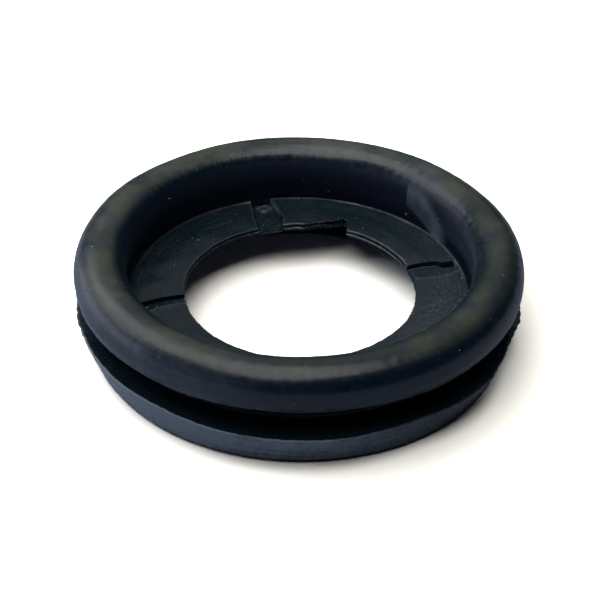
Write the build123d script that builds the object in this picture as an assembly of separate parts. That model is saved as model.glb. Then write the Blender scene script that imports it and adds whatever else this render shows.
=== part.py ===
from build123d import *
from math import cos, degrees, radians, sin
import os

# Rubber gasket, moulded in one piece: a round bead above an outside groove, a tapered flange
# below it, and a thin web across the middle with a large round hole. The web has aged and torn.
# Millimetres, +Z up. The origin is on the axis, at the height of the foot that it stands on.

# Heights, from the foot upwards.
flange_height = 4.5
groove_width = 3.2
bead_height = 4.7

# Bead, the rounded ring at the top. Its side slopes in a little to the lip over the groove.
outside_diameter = 50.0
bead_width = 5.7
bead_lip_inset = 0.45
bead_lip_chamfer = 0.2

# Neck, the wall at the bottom of the groove. It is as thick as this at its thinnest.
neck_wall = 1.6
groove_corner_chamfer = 0.4

# Flange, nearly as wide as the bead at the edge of the groove and narrower at the foot.
flange_step_in = 0.35
flange_taper = 1.6
foot_chamfer = 0.6

# Cup above the web. Its wall leans out a little under the bead.
cup_depth = 6.4
cup_undercut = 0.3

# Web and its hole. A narrow channel parts the web's upper face from the wall.
hole_diameter = 26.4
web_thickness = 1.2
channel_width = 0.5
channel_depth = 0.55

# Recess below the web, open at the foot.
recess_taper = 0.4
recess_corner_chamfer = 0.6
recess_mouth_chamfer = 0.4

# The web is two skins, and a slit shows between them at the rim of the hole.
upper_skin = 0.3
slit_width = 0.15
slit_depth = 0.6
slit_start = 19.0
slit_end = 189.0

# Damage to the web. Each point is a share of the way across the web, from the hole to the
# channel, and an angle in degrees from +X. A tear also has its width at each point.
left_tear = [(0.0, 188.6, 0.45), (0.45, 189.4, 0.5), (0.75, 191.2, 0.55), (1.0, 192.8, 0.6)]
right_tear = [
    (0.0, 19.9, 0.35),
    (0.3, 20.2, 0.35),
    (0.6, 19.3, 0.4),
    (0.68, 17.2, 0.75),
    (1.0, 16.7, 0.85),
]
gap_left_edge = [(1.0, 108.4), (0.6, 109.6), (0.4, 110.6), (0.0, 112.6)]
gap_right_edge = [(0.0, 98.9), (0.25, 98.0), (0.6, 99.5), (1.0, 101.2)]
notch_edge = [(0.0, 88.7), (0.2, 74.5), (0.39, 69.8), (0.3, 68.3), (0.0, 64.7)]
gap_floor_outer_depth = 0.45
gap_floor_inner_depth = 0.8
cut_margin = 0.5

# Sizes that follow from those above.
groove_bottom = flange_height
groove_top = flange_height + groove_width
top = groove_top + bead_height
web_top = top - cup_depth
web_bottom = web_top - web_thickness
bead_radius = outside_diameter / 2
bead_crown = bead_width / 2
bead_middle = top - bead_crown
mouth_radius = bead_radius - bead_width
cup_radius = mouth_radius + cup_undercut
neck_radius = cup_radius + neck_wall
flange_radius = bead_radius - flange_step_in
hole_radius = hole_diameter / 2
web_radius = cup_radius - channel_width
recess_foot_radius = cup_radius + recess_taper


def corner_at(section, place):
    """The corner of the section that lies at this radius and height."""
    return section.vertices().sort_by_distance((place[0], place[1], 0))[0]


def ring():
    """The undamaged gasket: one closed section turned once round the axis."""
    bead_lip = (bead_radius - bead_lip_inset, groove_top)
    flange_edge = (flange_radius, groove_bottom)
    foot_outer = (flange_radius - flange_taper, 0)
    foot_inner = (recess_foot_radius, 0)
    recess_corner = (cup_radius, web_bottom)
    with BuildPart() as turned:
        with BuildSketch(Plane.XZ) as section:
            with BuildLine():
                # The crown of the bead, a half circle from the mouth of the cup to the outside.
                CenterArc((mouth_radius + bead_crown, bead_middle), bead_crown, 0, 180)
                Polyline(
                    (bead_radius, bead_middle),
                    bead_lip,
                    (neck_radius, groove_top),
                    (neck_radius, groove_bottom),
                    flange_edge,
                    foot_outer,
                    foot_inner,
                    recess_corner,
                    (hole_radius, web_bottom),
                    (hole_radius, web_top),
                    (web_radius, web_top),
                    (web_radius, web_top - channel_depth),
                    (cup_radius, web_top - channel_depth),
                    (mouth_radius, bead_middle),
                )
            make_face()
            chamfer(corner_at(section, bead_lip), bead_lip_chamfer)
            chamfer(corner_at(section, (neck_radius, groove_top)), groove_corner_chamfer)
            chamfer(corner_at(section, (neck_radius, groove_bottom)), groove_corner_chamfer)
            chamfer(corner_at(section, foot_inner), recess_mouth_chamfer)
            chamfer(corner_at(section, recess_corner), recess_corner_chamfer)
            chamfer(corner_at(section, foot_outer), foot_chamfer)
        revolve(axis=Axis.Z)
    return turned.part


def web_place(share, angle):
    """A point of the web, from its share of the way across and its angle."""
    radius = hole_radius + share * (web_radius - hole_radius)
    return (radius * cos(radians(angle)), radius * sin(radians(angle)))


def past_the_web(outline):
    """The outline with its ends carried on into the hole and into the channel."""
    reach = cut_margin / (web_radius - hole_radius)
    moved = {0.0: -reach, 1.0: 1 + channel_width / (web_radius - hole_radius)}
    return [(moved.get(share, share), angle) for share, angle in outline]


def web_cut(outline, bottom):
    """A straight-sided cutter of this outline, from this height to above the web."""
    corners = [web_place(share, angle) for share, angle in past_the_web(outline)]
    face = Plane.XY.offset(bottom) * Polygon(*corners, align=None)
    return extrude(face, amount=web_top + cut_margin - bottom, dir=(0, 0, 1))


def tear(line):
    """A tear that goes right through the web, along this line and as wide as it says."""
    left = []
    right = []
    for share, angle, width in line:
        radius = hole_radius + share * (web_radius - hole_radius)
        half = degrees(width / 2 / radius)
        left.append((share, angle + half))
        right.append((share, angle - half))
    return web_cut(left + right[::-1], web_bottom - cut_margin)


def broken_gap():
    """Where the upper skin is gone. What is left below it slopes down towards the hole."""
    outline = gap_left_edge + gap_right_edge
    middle = (gap_left_edge[0][1] + gap_right_edge[-1][1]) / 2
    deepest = web_top - gap_floor_inner_depth
    shallowest = web_top - gap_floor_outer_depth
    above = web_top + 2 * cut_margin
    side = Polygon(
        (hole_radius - 2 * cut_margin, deepest),
        (hole_radius, deepest),
        (web_radius, shallowest),
        (cup_radius + cut_margin, shallowest),
        (cup_radius + cut_margin, above),
        (hole_radius - 2 * cut_margin, above),
        align=None,
    )
    slope = extrude(Plane.XZ * side, amount=web_radius, both=True)
    return web_cut(outline, deepest - cut_margin) & (Rot(0, 0, middle) * slope)


def rim_slit():
    """The slit between the two skins, along the far part of the rim of the hole."""
    slit_top = web_top - upper_skin
    outline = Polygon(
        (hole_radius - cut_margin, slit_top - slit_width),
        (hole_radius + slit_depth, slit_top - slit_width),
        (hole_radius + slit_depth, slit_top),
        (hole_radius - cut_margin, slit_top),
        align=None,
    )
    turned = revolve(Plane.XZ * outline, axis=Axis.Z, revolution_arc=slit_end - slit_start)
    return Rot(0, 0, slit_start) * turned


def gasket():
    """The ring with the damage cut out of its web."""
    whole = ring()
    notch = web_cut(notch_edge, web_bottom - cut_margin)
    for piece in (tear(left_tear), tear(right_tear), broken_gap(), notch, rim_slit()):
        whole = whole - piece
    return whole


os.makedirs("parts", exist_ok=True)
model = gasket()
model.label = "gasket"
export_step(model, "parts/gasket.step")
print("gasket volume mm3", round(model.volume, 1), "solids", len(model.solids()))
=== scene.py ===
import bpy
import numpy as np
from functools import partial
from mathutils import Matrix, Vector
from types import SimpleNamespace


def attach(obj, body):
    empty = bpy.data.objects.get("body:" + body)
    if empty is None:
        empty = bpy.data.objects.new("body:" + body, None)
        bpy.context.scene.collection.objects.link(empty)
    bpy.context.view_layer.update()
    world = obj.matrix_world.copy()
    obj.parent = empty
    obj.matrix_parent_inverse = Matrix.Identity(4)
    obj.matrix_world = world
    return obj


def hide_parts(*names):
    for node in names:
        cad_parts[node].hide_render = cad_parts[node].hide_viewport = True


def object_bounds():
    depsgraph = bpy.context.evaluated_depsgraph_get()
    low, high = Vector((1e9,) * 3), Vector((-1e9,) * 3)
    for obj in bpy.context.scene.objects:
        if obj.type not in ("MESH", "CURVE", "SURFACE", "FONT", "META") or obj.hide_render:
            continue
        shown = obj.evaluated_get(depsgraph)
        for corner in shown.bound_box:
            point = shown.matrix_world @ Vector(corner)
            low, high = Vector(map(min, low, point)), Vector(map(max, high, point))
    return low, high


# Aged rubber gasket: bead, panel groove, flange and a thin torn web, on a white table.
# Lengths in the dictionaries are in mm, angles in degrees from +X towards the back (+Y).
# A span has four values: something grows from the first to the second of them and fades again
# from the third to the fourth.

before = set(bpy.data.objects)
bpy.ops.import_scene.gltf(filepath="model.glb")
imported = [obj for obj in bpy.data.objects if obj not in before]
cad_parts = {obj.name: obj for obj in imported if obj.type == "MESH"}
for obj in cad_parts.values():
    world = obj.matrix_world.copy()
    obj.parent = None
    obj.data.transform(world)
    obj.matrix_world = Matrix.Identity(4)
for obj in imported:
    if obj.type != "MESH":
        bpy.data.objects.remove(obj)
cadLow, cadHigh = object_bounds()
mm = 0.001
print("frame loaded")

# The section of the ring, and how uneven it is.
body = dict(
    columns=608,            # grid lines round the ring
    beadRadius=24.93,       # a little under the CAD's, the waviness fills the rest
    beadMiddle=9.55,
    beadCrown=2.85,
    beadSide=4.0,           # radius of the curve of its side
    topLimit=12.39,         # no part of the ring reaches past these two
    sideLimit=24.995,
    cupRadius=19.6,
    cupFoot=5.7,
    channelFloor=5.45,
    webTop=6.0,
    webBottom=4.8,
    rimRadius=13.2,
    webRadius=19.1,
    recessFoot=20.0,
    neckRadius=21.2,
    grooveBottom=4.5,
    grooveTop=7.7,
    lipMiddle=24.21,
    lipRound=0.26,
    flangeRadius=24.65,
    flangeTaper=1.6,
    footRound=1.2,
    partingHeight=8.5,
    partingWidth=0.07,
    partingRidge=0.055,
    wobble=0.03,            # slow waviness of the whole ring
    wobbleSlope=0.35,       # how fast it changes along the section
    ripple=0.006,           # finer waviness
    swellFlange=0.9,        # share of both in the flange
    swellCup=(6.2, 8.0),    # heights between which they start in the cup
    lipWave=0.03,
    webSway=0.035,
    swaySlope=1.5,
    swayBelow=0.7,          # share of it in the web's lower face
    edgeLeast=0.1,          # share of its height that the web's outer ridge has at the front
    webFree=(0.9, 1.0),     # share of the way across at which the web's own unevenness ends
    cupFade=(5.8, 9.5),     # heights at which leaning grid lines stand upright again
    recessFade=(0.3, 4.4),
)
webWidth = body["webRadius"] - body["rimRadius"]

# Short outlines of the section: mm out from the radius that each belongs to, height.
outlines = dict(
    webEdge=[(0, 5.95), (-0.02, 6.06), (-0.1, 6.11), (-0.22, 6.09), (-0.34, 6.02)],
    rimTop=[(0.06, 6.0), (0.015, 5.985), (0, 5.95), (0, 5.87), (0.02, 5.83)],
    slit=[(0.06, 5.82), (0.5, 5.79), (1.0, 5.76), (1.0, 5.70), (0.5, 5.68), (0.06, 5.66)],
    rimLow=[(0.01, 5.64), (0, 5.59), (0.02, 5.5), (0.14, 5.38), (0.5, 5.05)],
    flash=[(-0.05, 4.3), (0, 4.4), (0.01, 4.47), (-0.1, 4.5)],
)

# Noise round the ring: fewest and most waves to a turn, how many are summed, seed.
noises = dict(
    rim=(30, 300, 30, 12),
    lowerSkin=(30, 200, 24, 13),
    slit=(3, 20, 10, 14),
    web=(3, 24, 16, 15),
    gapFloor=(40, 260, 24, 16),
    flash=(24, 310, 46, 17),
    flashSlow=(4, 20, 12, 18),
    flashHeight=(40, 300, 24, 19),
    parting=(8, 90, 20, 20),
    lip=(10, 120, 24, 21),
    wobble=(2, 14, 14, 23),
    ripple=(20, 150, 30, 24),
)

# A tear's line runs from the hole to the channel: share of the way across the web, angle of its
# middle, width in mm. Its edges are the grid lines at column - half and column + half, which lean
# onto the line, and the lines beside them follow within the span. The flap on the plus or minus
# side of the tear bends down from its crease, by the dip at the tear.
leftTear = dict(
    line=[(0.0, 188.6, 0.45), (0.45, 189.4, 0.5), (0.75, 191.2, 0.55), (1.0, 192.8, 0.6)],
    column=190.6, half=0.9, span=9.0, wallStep=0.0,
    crease=[(0.0, 194.5), (0.45, 195.2), (0.74, 197.0), (1.0, 198.0)],
    side=1, dip=0.3,
)
rightTear = dict(
    line=[(0.0, 19.9, 0.35), (0.3, 20.2, 0.35), (0.6, 19.3, 0.4), (0.68, 17.2, 0.75), (1.0, 16.7, 0.85)],
    column=18.3, half=0.9, span=8.0, wallStep=0.0,
    crease=[(0.0, 9.1), (0.5, 8.6), (0.72, 9.8), (0.94, 12.0), (1.0, 13.0)],
    side=-1, dip=0.36,
)
# Low ridges on the flap: half width and height in mm, and how much painted highlight lies on them.
flapRidges = dict(lip=(0.16, 0.08, 0.8), crease=(0.13, 0.03, 0.35))

# The stretch where the upper skin is broken away, its line as above. Its floor lies deeper at the
# rim than further out, drops at the channel and at the right wall, from one share to another of the
# way there, and carries a lens of torn rubber with a pit in it.
brokenGap = dict(
    line=[(0.0, 105.7, 3.1), (0.25, 104.5, 3.4), (0.4, 104.6, 3.3), (0.6, 104.5, 2.95), (1.0, 104.8, 2.4)],
    column=104.8, half=5.0, span=13.0, wallStep=0.13,
    rimDepth=0.85, outerDepth=0.42, deepest=1.1, rough=0.025, roughness=14,
    channelDrop=0.75, channelShares=(0.91, 0.98),
    rightDrop=0.28, rightShares=(0.84, 0.96),
    leftSlope=0.03, leftSlopeMore=0.14, leftShares=(0.5, 0.8), leftTorn=(0.3, 0.6),
    lensAngle=104.4, lensRadius=17.9, lensHalf=(3.3, 0.75), lensRise=0.1,
    pitRadius=17.95, pitSlant=0.07, pitHalf=(2.6, 0.22), pitDepth=0.14, pitBare=0.9,
)

notch = dict(
    edge=[(64.7, 0.0), (68.3, 0.3), (69.8, 0.39), (74.5, 0.2), (88.7, 0.0)],
    corners=(68.3, 69.8),
    ragged=0.05,            # comes on top of the rim's own
    lowerSpan=(66.5, 69.5, 75, 79),     # the lower skin reaches further in here and lies lower
    lowerReach=0.14,
    lowerSink=0.2,
    sinkBelow=5.72,
)

rim = dict(
    shift=0.16,             # the hole isn't quite round: it lies this far towards +X
    change=-0.1,            # and this is added to its radius
    ragged=0.022,
    nick=(203.2, 0.6, 0.28),            # angle, half width in degrees, depth
    lowerReach=0.12,        # the lower skin reaches this far in, and more where it is bared
    lowerRagged=0.03,
    bared=[((20, 26, 64, 66), 0.1), ((86.5, 88.5, 97, 99), 0.22)],
    lobe=(113.0, 9.0),      # angle and half width of a lobe of the lower skin
    lobeReach=0.1,
    lobeSag=0.12,
)
slit = dict(
    open=(21, 26, 178, 186),            # span of angle
    depth=0.55,
    closedDepth=0.06,       # left where it is closed
    waver=0.25,
    top=5.83,
    height=0.17,
)

flangeEdge = dict(
    # out of round as the photo shows it: angle, mm more than the even radius
    wander=[
        (0, 0.33), (14, 0.2), (40, 0.0), (140, 0.0), (168, 0.3), (184, 0.33), (196, 0.1), (221, -0.08),
        (234, -0.25), (247, 0.0), (259, 0.15), (282, 0.3), (290, 0.05), (302, -0.08), (312, 0.3),
        (325, 0.33), (331, 0.0), (339, -0.25), (344, -0.33), (349, 0.1), (354, 0.33),
    ],
    wanderRadii=(21.4, 24.0),           # where it grows to its full amount
    wanderHeights=(0.2, 4.0),
    flashHeight=4.45,
    flashWidth=0.09,
    flashRadius=24.3,       # beyond this
    flashReach=0.09,        # how far the ragged moulding edge stands out
    flashWave=0.02,
    flashSlow=0.6,          # share of the slow noise in it
    flashMean=0.25,
    flashNoise=0.5,
    flashLimits=(-1.0, 1.5),
    evenShare=0.5,
    rugged=[(-8, 14, 1.2), (192, 12, 0.9)],     # more of it round an angle: half width, how much
)

# Painted highlights along edges: spans of angle, how strong, and the heights above which they lie.
glintLines = dict(
    ridge=0.24,             # the web's outer edge, on the far side
    ridgeSpan=(3, 12, 150, 176),
    ridgePast=350,          # and past this angle
    ridgeAbove=6.08,
    ridgeFades=(106, 112),
    ridgeFaded=0.8,
    lips=[(20, 24, 65, 66), (87, 88, 98, 99)],
    faintLip=(99, 112, 165, 186),
    faintLipAmount=0.14,
    lowLipAbove=5.45,
    highLipAbove=5.85,
    highLipShare=0.45,      # of what the low lip has
    highLipLeast=0.03,
    besideGap=0.12,
    besideGapWidth=0.7,     # in degrees
    gapWall=0.25,
    flaps=0.5,
    grooveLip=(190, 215, 290, 330),
    grooveLipAmount=0.12,
)

# The painted reflection on the cup's wall, a lighter patch: angle of its edge, height where that starts
# to slant, degrees to a mm, and how soft it is. The wrinkles: span of angle, the heights between which
# they grow, amount.
wallGleam = dict(
    nearEdge=(30.3, 7.7, 3.3),
    nearSoft=(-3.0, 5.0),
    farEdge=(48.9, 8.05, 4.67),
    farSoft=(-0.4, 0.4),
    fade=(10.0, 11.4),
    edgeWrinkle=1.3,        # along the near edge, with its middle and half width in degrees
    edgeMiddle=2.0,
    edgeHalf=4.0,
    edgeFade=(8.6, 10.5),
    ownWrinkle=0.3,
    wrinkles=[((92, 112, 150, 170), (8.6, 10.2), 1.0), ((5, 16, 60, 75), (7.2, 9.4), 0.3)],
)

# Where film, painted sheen, bloom and dull rubber begin and end: heights or radii, and humps as angle,
# half width and amount.
patches = dict(
    wallRadius=20.9,        # the bead inside of this is part of the cup's wall
    filmBead=(10.8, 12.0),
    filmWall=(6.3, 8.0, 10.6, 11.8),
    # painted sheen on the crown's top at the far right, laid as grey film
    sheenHeights=(11.4, 12.3),
    sheenHump=(60, 30, 0.1),
    bloomCrown=(11.1, 12.45),
    bloomWeb=0.04,
    mottleHump=(-16, 20, 0.8),
    mottleLeast=0.12,
    mottleRim=(0.05, 0.3),  # share of the way across the web
    dullRadius=21,
    dullWall=(10.4, 11.6),
    dullCrown=(22.2, 23.2),
    dullHump=(232, 36, 0.2),
)

# Grey film of age on the rubber, and on the flange's front left also a painted reflection of the table:
# angle, how much, for each place.
filmAndSheen = dict(
    crown=[
        (0, 0.72), (40, 0.88), (62, 1.0), (90, 0.9), (125, 0.95), (180, 0.9), (215, 0.8), (270, 0.68),
        (310, 0.66),
    ],
    bead=[
        (0, 0.0), (165, 0.08), (190, 0.16), (215, 0.15), (245, 0.12), (264, 0.03), (280, 0.0), (320, 0.0),
    ],
    # partly real dusty film, partly painted reflection of the bright table at the front left
    flange=[
        (0, 0.0), (190, 0.4), (222, 1.7), (246, 1.4), (262, 0.8), (285, 0.6), (305, 0.2), (325, 0.08),
        (345, 0.0),
    ],
    wall=[
        (0, 0.11), (14, 0.09), (27, 0.03), (34, 0.0), (150, 0.0), (178, 0.05), (200, 0.03), (330, 0.05),
        (350, 0.1),
    ],
    web=[
        (0, 0.045), (18, 0.045), (60, 0.015), (110, 0.01), (150, 0.0), (180, 0.0), (230, 0.0), (300, 0.04),
        (340, 0.07),
    ],
)


def smooth(x, a, b):
    # t = clip((x - a) / (b - a)), 3 t^2 - 2 t^3
    t = np.clip((x - a) / (b - a), 0, 1)
    return t * t * (3 - 2 * t)


def inSpan(x, span):
    # smooth(x, first, second) (1 - smooth(x, third, fourth))
    return smooth(x, *span[:2]) * (1 - smooth(x, *span[2:]))


def around(theta, centre):
    # the angle from the centre, in degrees, from -180 to 180
    return (np.degrees(theta) - centre + 180) % 360 - 180


def hump(theta, centre, half):
    # exp(-(angle from the centre / half)^2)
    return np.exp(-(around(theta, centre) / half) ** 2)


def filmed(theta, place):
    # straight runs between the listed angles, the last joined to the first
    angles, amounts = np.array(filmAndSheen[place]).T
    return np.interp(np.degrees(theta) % 360, angles, amounts, period=360)


def waves(theta, s, name):
    # sum over k of cos(n_k theta + m_k s + p_k) over the root of half their number, where n_k are
    # whole numbers from the fewest waves to the most
    low, high, count, seed = noises[name]
    rng = np.random.default_rng(seed)
    n = np.round(np.exp(rng.uniform(np.log(low), np.log(high), count)))
    m = rng.normal(0, 0.5, count) * n / 24
    p = rng.uniform(0, 2 * np.pi, count)
    total = np.zeros(np.broadcast(theta, s).shape)
    for k in range(count):
        total = total + np.cos(n[k] * theta + m[k] * s + p[k])
    return total / np.sqrt(count / 2)


def line(a, b, count):
    # p = a + (b - a) k / count
    k = np.arange(count)[:, None] / count
    return np.array(a) + (np.array(b) - np.array(a)) * k


def arc(centre, radius, start, end, count):
    # p = centre + radius (cos a, sin a), a from start to end
    a = np.radians(start + (end - start) * np.arange(count) / count)
    return np.array(centre) + radius * np.stack([np.cos(a), np.sin(a)], 1)


def cupWall(a, b, high, low, count):
    # p = (a + (b - a) (3 t^2 - 2 t^3), high + (low - high) t), upright at both ends
    t = np.arange(count) / count
    return np.stack([a + (b - a) * t * t * (3 - 2 * t), high + (low - high) * t], 1)


def beside(radius, outline):
    # p = (radius + out, height) for each point of the outline
    return np.array(outline) + (radius, 0)


def sectionRows():
    # the section of the ring as rows (r, z), once round: over the bead, down the cup, in along the
    # web, round its rim, out below it, down the recess, over the foot and up by the groove
    bead, crown, middle = body["beadRadius"], body["beadCrown"], body["beadMiddle"]
    sideRound, lipMiddle, lipRound = body["beadSide"], body["lipMiddle"], body["lipRound"]
    cup, cupFoot, channel = body["cupRadius"], body["cupFoot"], body["channelFloor"]
    top, bottom, hole, out = body["webTop"], body["webBottom"], body["rimRadius"], body["webRadius"]
    neck, low, high = body["neckRadius"], body["grooveBottom"], body["grooveTop"]
    flange, recess, footRound = body["flangeRadius"], body["recessFoot"], body["footRound"]
    foot = flange - body["flangeTaper"]
    stretches = dict(
        crown=arc((bead - crown, middle), crown, 0, 180, 26),
        cup=np.vstack([
            cupWall(bead - 2 * crown, cup, middle, cupFoot, 13),
            line((cup, cupFoot), (cup - 0.1, 5.48), 2),
        ]),
        channel=np.vstack([
            line((cup - 0.12, channel), (out + 0.04, channel), 3),
            line((out + 0.03, 5.5), (out, 5.9), 2),
        ]),
        webEdge=beside(out, outlines["webEdge"]),
        webTop=line((out - 0.44, top), (hole + 0.09, top), 28),
        rimTop=beside(hole, outlines["rimTop"]),
        slit=beside(hole, outlines["slit"]),
        rimLow=beside(hole, outlines["rimLow"]),
        webLow=line((hole + 0.65, bottom), (out - 0.15, bottom), 14),
        recess=np.vstack([
            line((out - 0.1, bottom), (cup + 0.02, 4.35), 3),
            line((cup + 0.04, 4.2), (recess, 0.35), 5),
            line((recess + 0.05, 0.25), (recess + 0.4, 0.01), 2),
        ]),
        foot=line((recess + 0.5, 0.0), (22.1, 0.0), 2),
        footRound=arc((foot - 0.85, footRound), footRound, 270, 340.4, 5),
        flange=line((foot + 0.29, 0.82), (flange - 0.12, 4.2), 6),
        flash=beside(flange, outlines["flash"]),
        ledge=line((flange - 0.25, low), (neck + 0.35, low), 3),
        neck=np.vstack([
            line((neck + 0.2, low + 0.05), (neck, low + 0.35), 2),
            line((neck, low + 0.6), (neck, high - 0.5), 3),
            line((neck, high - 0.3), (neck + 0.3, high), 2),
        ]),
        shelf=line((neck + 0.4, high), (24.1, high), 3),
        lip=arc((lipMiddle, high + lipRound), lipRound, 270, 350, 4),
        side=arc((bead - sideRound, middle), sideRound, -23.4, 0, 9),
    )
    ends = np.cumsum([len(stretch) for stretch in stretches.values()])
    places = {name: (end - len(stretches[name]), end) for name, end in zip(stretches, ends)}
    return np.vstack(list(stretches.values())), places


def columnAngles():
    # even lines round the ring, but at each edge of a tear or gap one or two lines in place of those
    # near it, none inside a tear, and one at each corner of the notch
    phi = np.arange(body["columns"]) * 360 / body["columns"]
    edges = list(notch["corners"])
    for cut in (leftTear, rightTear, brokenGap):
        for side in (-1, 1):
            edge = cut["column"] + side * cut["half"]
            phi = phi[np.abs(phi - edge) > 0.3]
            edges += [edge, edge + side * cut["wallStep"]]
        if cut is not brokenGap:
            phi = phi[np.abs(phi - cut["column"]) > cut["half"]]
    phi = phi[np.abs(phi - notch["corners"][1]) > 0.1]
    return np.unique(np.concatenate([phi, edges]))


def lean(phi, share, cut):
    # moves the grid lines onto the edges of the cut: theta = phi + (c(s) - c0 + (h(s) - h0) u) fade,
    # u = clip((phi - c0) / h0), fade falls from 1 at the edges to 0 at the span
    shares, angles, widths = np.array(cut["line"]).T
    column, half = cut["column"], cut["half"]
    radius = body["rimRadius"] + share * webWidth
    centre = np.interp(share, shares, angles)
    halfHere = np.degrees(np.interp(share, shares, widths) / 2 / radius)
    away = (phi - column + 180) % 360 - 180
    fade = np.clip(1 - (np.abs(away) - half) / (cut["span"] - half), 0, 1)
    return (centre - column + (halfHere - half) * np.clip(away / half, -1, 1)) * fade


def layGrid():
    # theta = phi + hold (sum of the leans), hold is 1 on the web and fades up the cup and down the
    # recess; r0 and z0 are the section's, r and z start from them
    rows, places = sectionRows()
    g = SimpleNamespace(rows=rows, places=places, phi=columnAngles()[None, :])
    g.r0, g.z0 = rows[:, :1], rows[:, 1:]
    index = np.arange(len(rows))[:, None]
    g.on = {name: (index >= first) & (index < end) for name, (first, end) in places.items()}
    g.onTop = g.on["webEdge"] | g.on["webTop"] | g.on["rimTop"]
    g.onRim = g.on["rimTop"] | g.on["slit"] | g.on["rimLow"]
    g.hold = np.where(g.onTop | g.onRim | g.on["webLow"] | g.on["channel"], 1.0, 0.0)
    g.hold = np.where(g.on["cup"], 1 - smooth(g.z0, *body["cupFade"]), g.hold)
    g.hold = np.where(g.on["recess"], smooth(g.z0, *body["recessFade"]), g.hold)
    share = np.clip((g.r0 - body["rimRadius"]) / webWidth, 0, 1)
    bent = sum(lean(g.phi, share, cut) for cut in (leftTear, rightTear, brokenGap))
    g.theta = np.radians(g.phi + g.hold * bent)
    g.azimuth = np.degrees(g.theta)
    g.inGap = (np.abs(g.phi - brokenGap["column"]) <= brokenGap["half"] + 0.001) * 1.0
    g.r = np.broadcast_to(g.r0, g.theta.shape).copy()
    g.z = np.broadcast_to(g.z0, g.theta.shape).copy()
    return g


def shapeRim(g):
    # upper = rim + shift cos(theta) + change + notch(theta) width + noise + nick, lower = upper -
    # reach(theta) + noise, and the web's rows run out from there: r = upper + t (out - upper)
    angles, shares = np.array(notch["edge"]).T
    notched = np.interp(g.azimuth, angles, shares)
    g.inNotch = smooth(notched, 0.02, 0.1)
    ragged = waves(g.theta, 0, "rim") * (rim["ragged"] + notch["ragged"] * (notched > 0.01))
    nickAngle, nickHalf, nickDepth = rim["nick"]
    upper = body["rimRadius"] + rim["shift"] * np.cos(g.theta) + rim["change"]
    upper = upper + notched * webWidth + ragged + nickDepth * hump(g.theta, nickAngle, nickHalf)
    bared = sum(inSpan(g.azimuth, span) * amount for span, amount in rim["bared"])
    reach = (rim["lowerReach"] + bared + rim["lobeReach"] * hump(g.theta, *rim["lobe"])) * (1 - g.inGap)
    g.notchLow = inSpan(g.azimuth, notch["lowerSpan"])
    lower = upper - reach - notch["lowerReach"] * g.notchLow
    lower = lower + rim["lowerRagged"] * waves(g.theta, 0, "lowerSkin")
    t = (g.r0 - body["rimRadius"]) / webWidth
    g.r = np.where(g.onTop, upper + t * (body["webRadius"] - upper), g.r)
    g.r = np.where(g.on["webLow"] | g.on["rimLow"], lower + t * (body["webRadius"] - lower), g.r)

    # slit between the skins: r = upper + (lower - upper) mix + depth (r0 - rim)
    opened = inSpan(g.azimuth, slit["open"]) * (1 - g.inGap)
    depth = slit["depth"] * opened * (1 + slit["waver"] * waves(g.theta, 0, "slit"))
    depth = depth + slit["closedDepth"] * (1 - g.inGap)
    mix = np.clip((slit["top"] - g.z0) / slit["height"], 0, 1)
    inside = upper + (lower - upper) * mix + depth * (g.r0 - body["rimRadius"])
    g.r = np.where(g.on["slit"], inside, g.r)
    g.s = np.clip((g.r - body["rimRadius"]) / webWidth, 0, 1)


def bendFlaps(g):
    # curl = -dip (1 - gone / reach) from the lip of the tear to the crease, plus a low ridge on each,
    # height exp(-(distance / half width)^2); a painted highlight follows the ridges
    lipHalf, lipHeight, lipGlint = flapRidges["lip"]
    creaseHalf, creaseHeight, creaseGlint = flapRidges["crease"]
    curl, edgeGlint = 0, 0
    for tear in (rightTear, leftTear):
        lipAt, creaseAt = np.array(tear["line"]).T, np.array(tear["crease"]).T
        lip = np.interp(g.s, lipAt[0], lipAt[1])
        crease = np.interp(g.s, creaseAt[0], creaseAt[1])
        gone = tear["side"] * (g.azimuth - lip)
        reach = np.abs(crease - lip)
        near = (gone >= -0.01) & (gone < 30)
        lipRidge = near * np.exp(-(gone * np.radians(1) * g.r0 / lipHalf) ** 2)
        creaseRidge = near * np.exp(-((gone - reach) * np.radians(1) * g.r0 / creaseHalf) ** 2)
        curl = curl - near * tear["dip"] * np.clip(1 - gone / reach, 0, 1)
        curl = curl + lipHeight * lipRidge + creaseHeight * creaseRidge
        edgeGlint = edgeGlint + lipGlint * lipRidge + creaseGlint * creaseRidge
    return curl, edgeGlint


def gapFloor(g):
    # depth = rim depth + (outer depth - rim depth) s + noise - lens + pit, with a drop at the channel
    # and at the right wall, held to the deepest, and rising at the left wall
    k = brokenGap
    across = around(g.theta, k["lensAngle"])
    lens = (across / k["lensHalf"][0]) ** 2 + ((g.r - k["lensRadius"]) / k["lensHalf"][1]) ** 2
    pitOut = g.r - k["pitRadius"] + k["pitSlant"] * across
    pit = (across / k["pitHalf"][0]) ** 2 + (pitOut / k["pitHalf"][1]) ** 2
    g.tornLens = g.inGap * np.exp(-lens ** 4) * (1 - k["pitBare"] * np.exp(-pit))
    depth = k["rimDepth"] + (k["outerDepth"] - k["rimDepth"]) * g.s
    depth = depth + k["rough"] * waves(g.theta, g.r0 * k["roughness"], "gapFloor")
    depth = depth - k["lensRise"] * np.exp(-lens ** 2) + k["pitDepth"] * np.exp(-pit)
    depth = depth + k["channelDrop"] * smooth(g.s, *k["channelShares"])
    gapShare = np.clip((g.phi - k["column"]) / k["half"], -1, 1)
    depth = depth + k["rightDrop"] * smooth(gapShare, *k["rightShares"])
    slope = k["leftSlope"] + k["leftSlopeMore"] * smooth(g.s, *k["leftShares"])
    g.gapWall = g.inGap * (gapShare < slope - 1.0) * smooth(g.s, *k["leftTorn"])
    return np.minimum(depth, k["deepest"]) * np.clip((gapShare + 1.0) / slope, 0, 1)


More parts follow.
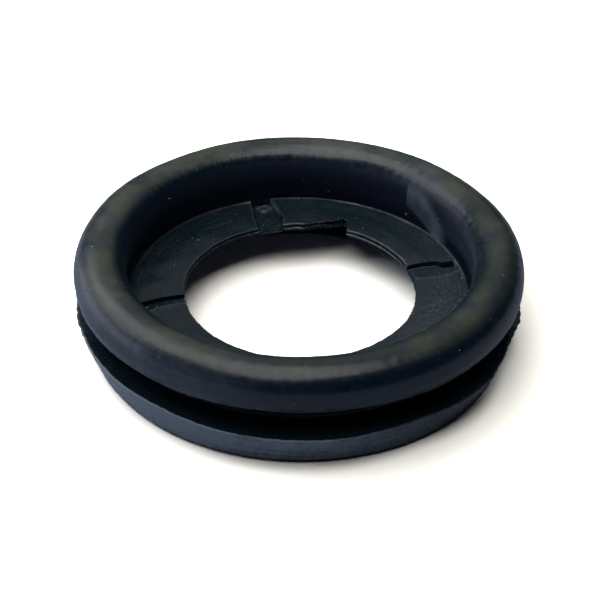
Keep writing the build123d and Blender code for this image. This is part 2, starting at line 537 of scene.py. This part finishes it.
def shapeWeb(g):
    # top = web top + curl + sway - gap floor, bottom = web bottom + curl + share of sway - sag, and
    # the rim's rows keep their share f of the way between: z = bottom + f (top - bottom)
    high, low = body["webTop"], body["webBottom"]
    curl, g.flapWorn = bendFlaps(g)
    free = 1 - smooth(g.s, *body["webFree"])
    sway = body["webSway"] * waves(g.theta, g.r0 * body["swaySlope"], "web") * free
    top = high + curl * free + sway - g.inGap * gapFloor(g)
    sag = rim["lobeSag"] * hump(g.theta, *rim["lobe"]) * (1 - g.s)
    bottom = low + curl * free + sway * body["swayBelow"] - sag
    f = (g.z0 - low) / (high - low)
    g.farSide = inSpan(g.azimuth, glintLines["ridgeSpan"]) + (g.azimuth > glintLines["ridgePast"])
    least = body["edgeLeast"]
    edgeHeight = np.where(g.on["webEdge"], least + (1 - least) * g.farSide, 1.0)
    g.z = np.where(g.onTop, top + (g.z0 - high) * edgeHeight, g.z)
    g.z = np.where(g.on["webLow"], bottom + (g.z0 - low), g.z)
    g.z = np.where(g.onRim, bottom + f * (top - bottom), g.z)
    g.z = g.z - g.notchLow * notch["lowerSink"] * g.onRim * (g.z0 < notch["sinkBelow"])
    # by the gap the channel sinks too
    sunk = g.inGap * g.hold * (0.5 + np.clip(g.z0 - body["channelFloor"], 0, 1))
    g.z = np.where(g.on["channel"], g.z - sunk, g.z)


def shapeFlange(g):
    # r = r + wander(theta) fade + tip reach rugged(theta) noise, z = z + tip noise, where
    # tip = exp(-((z0 - flash height) / flash width)^2)
    k = flangeEdge
    angles, amounts = np.array(k["wander"]).T
    degrees = np.arange(360)
    even = np.interp(degrees, angles, amounts, period=360)
    even = np.mean([np.roll(even, turn) for turn in range(-3, 4)], axis=0)
    wander = np.interp(g.azimuth, degrees, even, period=360)
    outside = g.on["flange"] | g.on["flash"] | g.on["ledge"] | g.on["footRound"]
    wander = wander * outside * smooth(g.r0, *k["wanderRadii"]) * smooth(g.z0, *k["wanderHeights"])
    g.r = g.r + wander

    noise = waves(g.theta, 0, "flash") + k["flashSlow"] * waves(g.theta, 0, "flashSlow")
    noise = np.clip(k["flashMean"] + k["flashNoise"] * noise, *k["flashLimits"])
    tip = np.exp(-((g.z0 - k["flashHeight"]) / k["flashWidth"]) ** 2) * (g.r0 > k["flashRadius"])
    rugged = k["evenShare"] + sum(more * hump(g.theta, at, half) for at, half, more in k["rugged"])
    g.r = g.r + tip * k["flashReach"] * rugged * noise
    g.z = g.z + tip * k["flashWave"] * waves(g.theta, 0, "flashHeight")


def shapeBead(g):
    # r = r + ridge exp(-((z0 - parting height) / width)^2) (1 + noise / 2) on the side, and
    # r = r + noise on the lip
    parting = np.exp(-((g.z0 - body["partingHeight"]) / body["partingWidth"]) ** 2) * g.on["side"]
    g.r = g.r + parting * body["partingRidge"] * (1 + 0.5 * waves(g.theta, 0, "parting"))
    g.r = g.r + g.on["lip"] * body["lipWave"] * waves(g.theta, 0, "lip")


def swellRing(g):
    # bead, cup and flange move by slow and fine noise along the section's own normal, within limits
    ahead, behind = np.roll(g.rows, -1, 0), np.roll(g.rows, 1, 0)
    along = (ahead - behind) / np.linalg.norm(ahead - behind, axis=1)[:, None]
    run = np.cumsum(np.linalg.norm(g.rows - behind, axis=1))[:, None]
    swell = body["wobble"] * waves(g.theta, run * body["wobbleSlope"], "wobble")
    swell = swell + body["ripple"] * waves(g.theta, run, "ripple")
    free = np.where(g.on["side"] | g.on["crown"], 1.0, g.on["flange"] * body["swellFlange"])
    free = free + g.on["cup"] * smooth(g.z0, *body["swellCup"])
    g.r = np.minimum(g.r + swell * along[:, 1:] * free, body["sideLimit"])
    g.z = np.clip(g.z - swell * along[:, :1] * free, 0, body["topLimit"])


def tearWalls(places, columns, left, right):
    # the two torn sides: polygons between matching lines of the web's upper and lower face, one
    # round the rim, and one across at the channel
    topFirst, topLast = places["webTop"]
    lowFirst, lowLast = places["webLow"]
    ups = np.arange(topLast - 1, topFirst - 1, -2)
    lows = np.arange(lowFirst, lowLast)
    count = min(len(ups), len(lows))
    nearRim = 3
    shapes = [list(range(ups[nearRim], lows[nearRim] + 1))]
    for k in range(nearRim, count - 2):
        shapes.append(list(range(ups[k + 1], ups[k] + 1)) + [lows[k], lows[k + 1]])
    shapes.append(list(range(topFirst, ups[count - 2] + 1)) + [lows[count - 2], lowLast - 1])
    walls = [[row * columns + left for row in shape] for shape in shapes]
    walls += [[row * columns + right for row in shape[::-1]] for shape in shapes]
    topLine, lowLine = topFirst * columns, (lowLast - 1) * columns
    return walls + [[topLine + left, topLine + right, lowLine + right, lowLine + left]]


def ringFaces(g):
    # quads between neighbouring rows i and columns j, both closed on themselves, but none across a
    # tear, where torn walls stand
    rows, columns = g.theta.shape
    i, j = np.meshgrid(np.arange(rows), np.arange(columns), indexing="ij")
    nextI, nextJ = (i + 1) % rows, (j + 1) % columns
    corners = [(i, j), (i, nextJ), (nextI, nextJ), (nextI, j)]
    quads = np.stack([row * columns + column for row, column in corners], -1)
    keep = np.ones(i.shape, bool)
    first, last = g.places["webTop"][0], g.places["webLow"][1] - 1
    walls = []
    for tear in (leftTear, rightTear):
        away = g.phi[0] - tear["column"]
        left, right = (int(np.argmin(np.abs(away - side * tear["half"]))) for side in (-1, 1))
        keep[first:last, left:right] = False
        walls += tearWalls(g.places, columns, left, right)
    return quads[keep].reshape(-1, 4).tolist() + walls


def paintEdgeGlints(g):
    # sum of the painted edge highlights: the web's outer ridge, the lips of its rim, the edges by the gap
    # and by the tears, and the lip of the groove
    whole = 1 - g.inGap
    ridge = g.on["webEdge"] * (g.z0 > glintLines["ridgeAbove"]) * glintLines["ridge"] * g.farSide * whole
    ridge = ridge * (1 - glintLines["ridgeFaded"] * smooth(g.azimuth, *glintLines["ridgeFades"]))
    lips = sum(inSpan(g.azimuth, span) for span in glintLines["lips"]) * (1 - g.inNotch)
    lips = lips + glintLines["faintLipAmount"] * inSpan(g.azimuth, glintLines["faintLip"])
    lowLip = g.on["rimLow"] * (g.z0 > glintLines["lowLipAbove"]) * lips * whole
    highLip = g.on["rimTop"] * (g.z0 > glintLines["highLipAbove"]) * whole
    highLip = highLip * (lips * glintLines["highLipShare"] + glintLines["highLipLeast"])
    fromGap = np.abs(g.phi - brokenGap["column"]) - brokenGap["half"]
    besideGap = g.onTop * whole * np.exp(-(fromGap / glintLines["besideGapWidth"]) ** 2) * glintLines["besideGap"]
    grooveLip = g.on["lip"] * glintLines["grooveLipAmount"] * inSpan(g.azimuth, glintLines["grooveLip"])
    torn = g.gapWall * g.onTop * glintLines["gapWall"] + g.flapWorn * g.onTop * glintLines["flaps"]
    return np.clip(ridge + lowLip + highLip + besideGap + torn + grooveLip, 0, 1)


def gleamOnWall(g, wall):
    # painted reflection between two slanting edges of the wall, edge = angle + slant (z0 - height), and
    # wrinkled along the near edge and in the listed spans
    angle, height, slant = wallGleam["nearEdge"]
    near = angle + np.maximum(g.z0 - height, 0) * slant
    angle, height, slant = wallGleam["farEdge"]
    far = angle - np.maximum(height - g.z0, 0) * slant
    soft = [near + degrees for degrees in wallGleam["nearSoft"]] + [far + degrees for degrees in wallGleam["farSoft"]]
    gleam = wall * inSpan(g.azimuth, soft) * (1 - smooth(g.z0, *wallGleam["fade"]))
    along = np.exp(-((g.azimuth - near - wallGleam["edgeMiddle"]) / wallGleam["edgeHalf"]) ** 2)
    along = along * (1 - smooth(g.z0, *wallGleam["edgeFade"]))
    wrinkled = wallGleam["edgeWrinkle"] * wall * along + wallGleam["ownWrinkle"] * gleam
    for span, heights, amount in wallGleam["wrinkles"]:
        wrinkled = wrinkled + amount * wall * inSpan(g.azimuth, span) * smooth(g.z0, *heights)
    return gleam, np.clip(wrinkled, 0, 1)


def filmAndSheenAmounts(g, wall):
    # for each place the listed amount of film at this angle, times a fade with the height, and a painted
    # sheen on the top of the crown at the far right
    outer = g.on["side"] | (g.on["crown"] & (g.r0 > body["beadRadius"] - body["beadCrown"]))
    amount = filmed(g.theta, "bead") * outer * (1 - smooth(g.z0, *patches["filmBead"]))
    # on the flange this is partly painted reflection of the bright table
    amount = amount + filmed(g.theta, "flange") * (g.on["flange"] | g.on["flash"])
    amount = amount + filmed(g.theta, "wall") * wall * inSpan(g.z0, patches["filmWall"])
    amount = amount + filmed(g.theta, "web") * g.onTop * (1 - g.inGap)
    # painted sheen: grey film on the crown's top at the far right stands for its reflection
    angle, half, most = patches["sheenHump"]
    return amount + most * hump(g.theta, angle, half) * g.on["crown"] * smooth(g.z0, *patches["sheenHeights"])


def surfaceMarks(g):
    # what the material reads at each point: how torn, bloomed and so on, and where light is painted, from 0
    # to about 1
    k = patches
    wall = g.on["cup"] | (g.on["crown"] & (g.r0 < k["wallRadius"]))
    gleam, wrinkled = gleamOnWall(g, wall)
    bloom = g.on["crown"] * smooth(g.z0, *k["bloomCrown"]) * filmed(g.theta, "crown")
    bloom = bloom + k["bloomWeb"] * g.onTop
    angle, half, most = k["mottleHump"]
    mottle = g.onTop * (k["mottleLeast"] + most * hump(g.theta, angle, half)) * smooth(g.s, *k["mottleRim"])
    dull = g.on["crown"] * (g.r0 < k["dullRadius"]) * (1 - smooth(g.z0, *k["dullWall"]))
    angle, half, most = k["dullHump"]
    dullCrown = most * g.on["crown"] * smooth(g.r0, *k["dullCrown"]) * hump(g.theta, angle, half)
    dull = g.on["cup"] + dull + dullCrown
    return dict(
        torn=g.tornLens * g.onTop,
        wallGleam=gleam,
        wrinkle=wrinkled,
        bloom=bloom,
        edgeGlint=paintEdgeGlints(g),
        filmAndSheen=filmAndSheenAmounts(g, wall),
        mottle=mottle,
        dull=dull,
    )


def makeMesh(name, points, faces, marks):
    # a smooth mesh with sharp edges where faces meet at more than 42 degrees, and its marks
    mesh = bpy.data.meshes.new(name)
    mesh.from_pydata(points.reshape(-1, 3), [], faces)
    for key, values in marks.items():
        layer = mesh.attributes.new(key, "FLOAT", "POINT")
        layer.data.foreach_set("value", np.broadcast_to(values, points.shape[:-1]).astype(np.float32).ravel())
    mesh.validate()
    mesh.shade_smooth()
    mesh.set_sharp_from_angle(angle=np.radians(42))
    obj = bpy.data.objects.new(name, mesh)
    bpy.context.scene.collection.objects.link(obj)
    return obj


def markUpFacing(obj):
    # up = smooth(z of the point's normal, 0.1, 0.95); gives the normals back
    mesh = obj.data
    normals = np.zeros(len(mesh.vertices) * 3, np.float32)
    mesh.vertex_normals.foreach_get("vector", normals)
    normals = normals.reshape(-1, 3)
    layer = mesh.attributes.new("up", "FLOAT", "POINT")
    layer.data.foreach_set("value", smooth(normals[:, 2], 0.1, 0.95).astype(np.float32))
    return normals


def colour(code):
    # sRGB hex to linear: ((c + 0.055) / 1.055)^2.4, or c / 12.92 up to 0.04045
    c = np.array([int(code[k:k + 2], 16) for k in (1, 3, 5)]) / 255
    c = np.where(c <= 0.04045, c / 12.92, ((c + 0.055) / 1.055) ** 2.4)
    return (*[float(v) for v in c], 1.0)


def addNode(tree, kind, inputs=(), out=0, **settings):
    # a node with its settings and inputs, each a value or the socket that feeds it; gives an output
    node = tree.nodes.new("ShaderNode" + kind)
    for key, value in settings.items():
        setattr(node, key, value)
    for key, value in inputs.items() if isinstance(inputs, dict) else enumerate(inputs):
        if isinstance(value, bpy.types.NodeSocket):
            tree.links.new(value, node.inputs[key])
        else:
            node.inputs[key].default_value = value
    return node.outputs[out] if len(node.outputs) else node


def newMaterial(name):
    # an empty material, and addNode for its tree
    material = bpy.data.materials.new(name)
    material.use_nodes = True
    material.node_tree.nodes.clear()
    return material, partial(addNode, material.node_tree)


# settings that many nodes share
times = dict(operation="MULTIPLY")
plus = dict(operation="ADD")
timesPlus = dict(operation="MULTIPLY_ADD")
smoothStep = dict(interpolation_type="SMOOTHSTEP")
mixColours = dict(data_type="RGBA", out=2)

rubberLook = dict(
    base="#031430",
    # painted light: the lighter teal of faces that look up, as if lit from above
    litFromAbove="#0e1f28",
    haze="#52594b",
    hazeCool="#474c52",
    filmAndSheen="#858f9d",
    # tone of the painted reflection on the cup's wall
    gleam="#65727f",
    tornRubber="#5a6266",
    # pale tone of the painted highlights along edges
    glintTone="#9aa19c",
    dust="#8f928a",
    ior=1.52,
    roughness=0.25,
    hazeRoughness=0.20,
    dullRoughness=0.26,
    tornRoughness=0.14,
    acrossSize=20,          # close round the ring, drawn out up and down by the climb
    acrossClimb=0.06,
    roundSize=0.6,          # drawn out round the ring, close across its section
    fray=(0.9, 0.05),       # times the wrinkle squared, and added
    hazeStep=(0.0, 1.1, 0.0, 1.0),
    cloudShare=0.4,         # of the peel in the clouds of the film
    cloudStep=(0.4, 0.95, 0.5, 1.35),
    brushMost=0.16,
    creaseStep=(0.3, 0.8, 0.5, 0.95),
    streakRelief=(0.97, 0.03),          # times the wrinkle, and added
    # noise: how it lies, size in mm, detail, roughness
    patterns=dict(
        grain=("even", 0.13, 2.0, 0.6),
        peel=("even", 0.8, 3.0, 0.55),
        blotch=("even", 5.0, 4.0, 0.6),
        tint=("even", 3.2, 3.0, 0.55),
        pores=("even", 0.28, 2.0, 0.7),
        speck=("even", 0.3, 1.0, 0.55),
        tornGrain=("even", 0.35, 4.0, 0.7),
        flow=("round", 0.3, 2.0, 0.55),
        band=("round", 1.1, 2.0, 0.55),
        streak=("across", 0.22, 3.0, 0.6),
    ),
    # smooth steps of a pattern: from, to, and what they give at each end
    steps=dict(
        hazePatch=("blotch", 0.34, 0.66, 0.35, 1.0),
        hazeGrain=("grain", 0.3, 0.7, 0.75, 1.0),
        hazeTint=("tint", 0.46, 0.64, 0.0, 1.0),
        filmBand=("band", 0.3, 0.7, 0.75, 1.25),
        filmGrain=("grain", 0.25, 0.75, 0.8, 1.2),
        mottlePores=("pores", 0.5, 0.68, 0.0, 0.3),
        brushFlow=("flow", 0.52, 0.66, 0.0, 1.0),
        brushPatch=("blotch", 0.42, 0.62, 0.0, 0.5),
        tornPatch=("peel", 0.35, 0.65, 0.2, 0.75),
        glintPatch=("peel", 0.3, 0.7, 0.5, 1.0),
        dustSpeck=("speck", 0.70, 0.76, 0.0, 1.0),
        dustPatch=("peel", 0.45, 0.7, 0.0, 0.55),
        peelRoughness=("peel", 0.3, 0.7, -0.05, 0.05),
        bandRoughness=("band", 0.35, 0.65, -0.04, 0.06),
    ),
    # height of each pattern in mm
    relief=dict(grain=0.002, peel=0.014, flow=0.008, band=0.014, pores=0.05, streak=0.03, tornGrain=0.05),
)


def mouldedRubber():
    # Aged black rubber from a steel mould: satin with a fine grain and faint flow lines, bluish black
    # in itself, with a dull grey bloom on the top of the bead and faintly on the web, and a thin grey film
    # elsewhere. Painted light on it: a lighter teal where it faces up, pale highlights along edges, a
    # reflection on the cup's wall, and a sheen and the table's reflection laid as film.
    look = rubberLook
    material, add = newMaterial("aged_moulded_black_rubber")
    place = add("TexCoord", out=3)
    height = add("SeparateXYZ", [place], out=2)
    flatPlace = add("VectorMath", [place, (1, 1, 0)], **times)
    radius = add("VectorMath", [flatPlace], out=1, operation="LENGTH")
    turn = add("VectorMath", [flatPlace], operation="NORMALIZE")
    turned = add("VectorMath", {0: turn, 3: look["acrossSize"] * mm}, operation="SCALE")
    climb = add("Math", [add("Math", [height, radius], **plus), look["acrossClimb"]], **times)
    slow = add("VectorMath", {0: turn, 3: look["roundSize"] * mm}, operation="SCALE")
    lying = dict(
        even=place,
        across=add("VectorMath", [turned, add("CombineXYZ", {2: climb})], **plus),
        round=add("VectorMath", [slow, add("CombineXYZ", {0: radius, 2: height})], **plus),
    )
    pattern, step, mark = {}, {}, {}
    for name, (way, size, detail, rough) in look["patterns"].items():
        inputs = {"Vector": lying[way], "Scale": 1 / (size * mm), "Detail": detail, "Roughness": rough}
        pattern[name] = add("TexNoise", inputs)
    for name, (source, *ends) in look["steps"].items():
        step[name] = add("MapRange", [pattern[source], *ends], **smoothStep)
    for name in ("up", "torn", "wallGleam", "wrinkle", "bloom", "edgeGlint", "filmAndSheen", "mottle", "dull"):
        mark[name] = add("Attribute", out=2, attribute_name=name)

    # the bloom ends in an edge that frays where the wall is wrinkled
    wrinkleSquared = add("Math", [mark["wrinkle"], mark["wrinkle"]], **times)
    fray = add("Math", [wrinkleSquared, *look["fray"]], **timesPlus)
    fray = add("Math", [add("Math", [pattern["streak"], 0.5], operation="SUBTRACT"), fray], **times)
    fray = add("Math", [mark["bloom"], fray], **plus)
    haze = add("MapRange", [fray, *look["hazeStep"]], **smoothStep)
    for share in (step["hazePatch"], step["hazeGrain"]):
        haze = add("Math", [haze, share], **times)
    warm, cool = colour(look["haze"]), colour(look["hazeCool"])
    hazeTone = add("Mix", {0: step["hazeTint"], 6: warm, 7: cool}, **mixColours)

    clouds = add("Math", [pattern["peel"], look["cloudShare"], pattern["blotch"]], **timesPlus)
    filmed = add("MapRange", [clouds, *look["cloudStep"]], **smoothStep)
    for share in (mark["filmAndSheen"], step["filmBand"], step["filmGrain"]):
        filmed = add("Math", [filmed, share], **times)
    brushed = add("Math", [step["brushFlow"], step["brushPatch"]], **times)
    mottled = add("Math", [mark["mottle"], look["brushMost"]], operation="MINIMUM")
    brushed = add("Math", [brushed, mottled], **times)
    creases = add("Math", [pattern["blotch"], 0.5], **times)
    creases = add("Math", [pattern["streak"], mark["wrinkle"], creases], **timesPlus)
    creases = add("MapRange", [creases, *look["creaseStep"]], **smoothStep)
    dusty = add("Math", [mark["up"], step["dustPatch"]], **times)

    # from the rubber outwards: how much of each tone lies over those before it
    # painted light: faces that look up are mixed towards a lighter teal, as if lit from above
    tone = add("Mix", {0: mark["up"], 6: colour(look["base"]), 7: colour(look["litFromAbove"])}, **mixColours)
    layers = [
        (haze, hazeTone),
        (filmed, colour(look["filmAndSheen"])),
        (add("Math", [mark["mottle"], step["mottlePores"]], **times), colour(look["filmAndSheen"])),
        (brushed, colour(look["filmAndSheen"])),
        # painted reflection on the cup's wall, broken by creases
        (add("Math", [mark["wallGleam"], creases], **times), colour(look["gleam"])),
        (add("Math", [mark["torn"], step["tornPatch"]], **times), colour(look["tornRubber"])),
        # painted highlights along edges
        (add("Math", [mark["edgeGlint"], step["glintPatch"]], **times), colour(look["glintTone"])),
        (add("Math", [step["dustSpeck"], dusty], **times), colour(look["dust"])),
    ]
    for share, over in layers:
        tone = add("Mix", {0: share, 6: tone, 7: over}, **mixColours)

    rough = add("Math", [haze, look["hazeRoughness"], look["roughness"]], **timesPlus)
    for change in (step["peelRoughness"], step["bandRoughness"]):
        rough = add("Math", [rough, change], **plus)
    rough = add("Math", [mark["dull"], look["dullRoughness"], rough], **timesPlus)
    tornOrGleam = add("Math", [mark["torn"], mark["wallGleam"]], operation="MAXIMUM")
    rough = add("Math", [tornOrGleam, look["tornRoughness"], rough], use_clamp=True, **timesPlus)

    # the reliefs in metres, summed for one bump, some only where the rubber is marked
    wrinkled = add("Math", [mark["wrinkle"], *look["streakRelief"]], **timesPlus)
    only = dict(pores=mark["mottle"], streak=wrinkled, tornGrain=mark["torn"])
    bump = 0.0
    for name, relief in look["relief"].items():
        part = pattern[name]
        if name in only:
            part = add("Math", [part, only[name]], **times)
        bump = add("Math", [part, relief * mm, bump], **timesPlus)
    normal = add("Bump", {"Strength": 1.0, "Distance": 1.0, "Height": bump})

    inputs = {"Base Color": tone, "Roughness": rough, "IOR": look["ior"], "Normal": normal}
    add("OutputMaterial", [add("BsdfPrincipled", inputs)])
    return material


grid = layGrid()
for shape in (shapeRim, shapeWeb, shapeFlange, shapeBead, swellRing):
    shape(grid)
points = np.stack([grid.r * np.cos(grid.theta), grid.r * np.sin(grid.theta), grid.z], -1) * mm
faces = ringFaces(grid)
gasketBody = makeMesh("gasket_body", points, faces, surfaceMarks(grid))
bodyNormals = markUpFacing(gasketBody)
gasketBody.data.materials.append(mouldedRubber())
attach(gasketBody, "root")
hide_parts("gasket")
print("body built", len(points.reshape(-1, 3)), "points", len(faces), "faces")

speckLook = dict(
    count=64,
    smallest=0.03,
    largest=0.07,
    seed=5,
    lowest=5.85,            # none lies below this height
    tilt=0.35,              # added to the upward part of the normal, and the power
    upward=1.5,
    stretch=(0.6, 1.5),
    lumpy=0.35,
    raised=0.35,            # how far its middle stands off the rubber, in its own radius
    tone="#a9aba3",
    darkTone="#6f716c",
    patchSize=2.5,
    roughness=0.9,
    ior=1.45,
    # the ones that stand out: place and radius in mm
    placed=[
        (-11.0, 7.3, 5.6, 0.12), (-15.6, -4.3, 6.0, 0.14), (12.7, 14.8, 6.6, 0.13), (-15.5, 11.7, 10.3, 0.1),
        (-7.3, 18.8, 11.6, 0.09), (-22.8, -1.9, 12.3, 0.1), (-11.9, 9.2, 6.0, 0.09), (3.4, 19.2, 7.0, 0.09),
        (16.3, 10.6, 8.6, 0.08), (-16.8, -4.0, 6.0, 0.09), (0.3, 19.4, 8.4, 0.08), (7.6, 17.2, 6.0, 0.1),
        (8.5, 16.8, 6.0, 0.08), (-22.2, -9.1, 11.7, 0.08), (21.9, -6.3, 12.3, 0.07), (16.9, 12.8, 12.2, 0.07),
        (18.5, 2.1, 6.0, 0.12), (-12.5, 9.6, 6.0, 0.07), (6.3, 16.7, 6.0, 0.07), (-23.2, 4.3, 12.0, 0.08),
        (20.0, -13.4, 11.6, 0.07), (-10.1, 9.5, 6.0, 0.07),
    ],
)


def greyDust():
    # grey lint and dust: dull and slightly uneven in tone
    material, add = newMaterial("grey_dust_and_lint")
    scale = 1 / (speckLook["patchSize"] * mm)
    patch = add("TexNoise", {"Vector": add("TexCoord", out=3), "Scale": scale, "Detail": 2.0})
    dark, pale = colour(speckLook["darkTone"]), colour(speckLook["tone"])
    tone = add("Mix", {0: patch, 6: dark, 7: pale}, **mixColours)
    inputs = {"Base Color": tone, "Roughness": speckLook["roughness"], "IOR": speckLook["ior"]}
    add("OutputMaterial", [add("BsdfPrincipled", inputs)])
    return material


def buildSpecks(points, normals):
    # each speck is a lumpy ball on the surface: p = c + a (1 + lumpy cos(2 u + q) sin v) direction(u, v)
    k = speckLook
    rng = np.random.default_rng(k["seed"])
    surface = points.reshape(-1, 3)
    weight = np.clip(normals[:, 2] + k["tilt"], 0, 1) ** k["upward"] * (surface[:, 2] > k["lowest"] * mm)
    chosen = rng.choice(len(surface), k["count"], replace=False, p=weight / weight.sum())
    size = np.exp(rng.uniform(np.log(k["smallest"]), np.log(k["largest"]), k["count"])) * mm
    placed = np.array(k["placed"]) * mm
    nearest = np.linalg.norm(surface[None] - placed[:, None, :3], axis=2).argmin(1)
    chosen, size = np.concatenate([chosen, nearest]), np.concatenate([size, placed[:, 3]])
    count = len(chosen)
    turns = np.linspace(0, 2 * np.pi, 6, endpoint=False)
    lifts = np.radians([0, 60, 120, 180])
    u, v = np.meshgrid(turns, lifts, indexing="ij")
    ball = np.stack([np.sin(v) * np.cos(u), np.sin(v) * np.sin(u), np.cos(v)], -1)
    phase = rng.uniform(0, 2 * np.pi, (count, 1, 1))
    stretch = rng.uniform(*k["stretch"], (count, 1, 1, 3)) * size[:, None, None, None]
    lump = 1 + k["lumpy"] * np.cos(2 * u + phase) * np.sin(v)
    centre = surface[chosen] + normals[chosen] * size[:, None] * k["raised"]
    shape = ball[None] * stretch * lump[..., None] + centre[:, None, None, :]

    # each pole is one point: the first of its ring
    sides, high = u.shape
    i, j = np.meshgrid(np.arange(sides), np.arange(high - 1), indexing="ij")
    nextI = (i + 1) % sides
    quads = np.stack([i * high + j, nextI * high + j, nextI * high + j + 1, i * high + j + 1], -1)
    onePoint = np.arange(sides * high)
    onePoint[::high] = 0
    onePoint[high - 1::high] = high - 1
    quads = onePoint[quads].reshape(-1, 4)
    quads = (quads[None] + (np.arange(count) * sides * high)[:, None, None]).reshape(-1, 4)
    faces = [list(dict.fromkeys(quad)) for quad in quads.tolist()]
    used = np.unique(quads)
    renumber = np.full(sides * high * count, -1)
    renumber[used] = np.arange(len(used))
    faces = [[int(renumber[corner]) for corner in face] for face in faces]
    return np.clip(shape.reshape(-1, 3)[used], np.array(cadLow), np.array(cadHigh)), faces


speckPoints, speckFaces = buildSpecks(points, bodyNormals)
specks = makeMesh("dust_specks", speckPoints, speckFaces, {})
specks.data.materials.append(greyDust())
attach(specks, "root")
print("dust laid", len(speckPoints), "points")

table = dict(
    size=3.0,               # in m
    drop=0.02,              # below the foot
    tone="#a5b1c0",
    shownTone="#fffdf6",
    lift=2.65,
    roughness=0.4,
)


def whiteTable():
    # plain white table top; seen straight on it is lifted to white, its shadow stays
    material, add = newMaterial("matt_white_table_top")
    lifted = tuple(c * table["lift"] for c in colour(table["shownTone"])[:3]) + (1.0,)
    inputs = {0: add("LightPath"), 6: colour(table["tone"]), 7: lifted}
    tone = add("Mix", inputs, clamp_factor=True, **mixColours)
    add("OutputMaterial", [add("BsdfDiffuse", {"Color": tone, "Roughness": table["roughness"]})])
    return material


half = table["size"] / 2
floorMesh = bpy.data.meshes.new("floor")
corners = [(-half, -half, 0), (half, -half, 0), (half, half, 0), (-half, half, 0)]
floorMesh.from_pydata(corners, [], [(0, 1, 2, 3)])
floorMesh.materials.append(whiteTable())
floor = bpy.data.objects.new("floor", floorMesh)
floor.location.z = -table["drop"] * mm
bpy.context.scene.collection.objects.link(floor)

# soft boxes: azimuth, elevation, distance, width and height in m, radiance, tint
lights = dict(
    overhead=(215, 81, 0.60, 0.58, 0.56, 2.35, "#fdfcfa"),
    left=(160, 44, 0.125, 0.105, 0.07, 1.9, "#f4f8ff"),
    nearLeft=(170, 12, 0.13, 0.13, 0.05, 1.3, "#eef2ff"),
    back=(84, 36, 0.70, 0.60, 0.40, 0.26, "#f2f5f4"),
)


def placeLight(name, azimuth, elevation, distance, width, height, radiance, tint):
    # power of a flat lamp = pi area radiance
    a, e = np.radians(azimuth), np.radians(elevation)
    spot = Vector((np.cos(e) * np.cos(a), np.cos(e) * np.sin(a), np.sin(e))) * distance
    lamp = bpy.data.lights.new(name, "AREA")
    lamp.shape = "RECTANGLE"
    lamp.size, lamp.size_y = width, height
    lamp.energy = float(np.pi * width * height * radiance)
    lamp.color = colour(tint)[:3]
    obj = bpy.data.objects.new(name, lamp)
    obj.location = spot
    obj.rotation_euler = spot.to_track_quat("Z", "Y").to_euler()
    bpy.context.scene.collection.objects.link(obj)


for name, settings in lights.items():
    placeLight(name, *settings)

room = dict(
    tone="#85868a",
    strength=0.012,
    shownTone="#ffffff",    # white where it is seen straight on
    shownStrength=1.0,
)
world = bpy.data.worlds.new("dim_room")
world.use_nodes = True
world.cycles.sampling_method = "NONE"   # too dim to be a lamp of its own
add = partial(addNode, world.node_tree)
straight = add("LightPath")
roomTone = add("Mix", {0: straight, 6: colour(room["tone"]), 7: colour(room["shownTone"])}, **mixColours)
roomLight = add("Mix", {0: straight, 2: room["strength"], 3: room["shownStrength"]}, data_type="FLOAT")
background = world.node_tree.nodes["Background"]
world.node_tree.links.new(roomTone, background.inputs[0])
world.node_tree.links.new(roomLight, background.inputs[1])
bpy.context.scene.world = world

view = dict(
    eye=(0.14, -146.8, 108.9),
    elevation=35.485,
    roll=0.809,
    lens=95.52,
)


def placeCamera():
    # looks down at the elevation from -Y, turned by the roll about its own axis
    e, roll = np.radians(view["elevation"]), np.radians(view["roll"])
    back = np.array([0, -np.cos(e), np.sin(e)])
    level = np.array([1.0, 0, 0])
    upright = np.cross(back, level)
    across = level * np.cos(roll) + upright * np.sin(roll)
    up = upright * np.cos(roll) - level * np.sin(roll)
    data = bpy.data.cameras.new("photo_camera")
    data.lens, data.sensor_width = view["lens"], 36
    data.clip_start = 0.01
    camera = bpy.data.objects.new("photo_camera", data)
    turn = Matrix(np.stack([across, up, back], 1).tolist())
    camera.matrix_world = Matrix.Translation(Vector(view["eye"]) * mm) @ turn.to_4x4()
    bpy.context.scene.collection.objects.link(camera)
    bpy.context.scene.camera = camera


placeCamera()
bpy.context.scene.view_settings.view_transform = "Standard"
print("stage set")
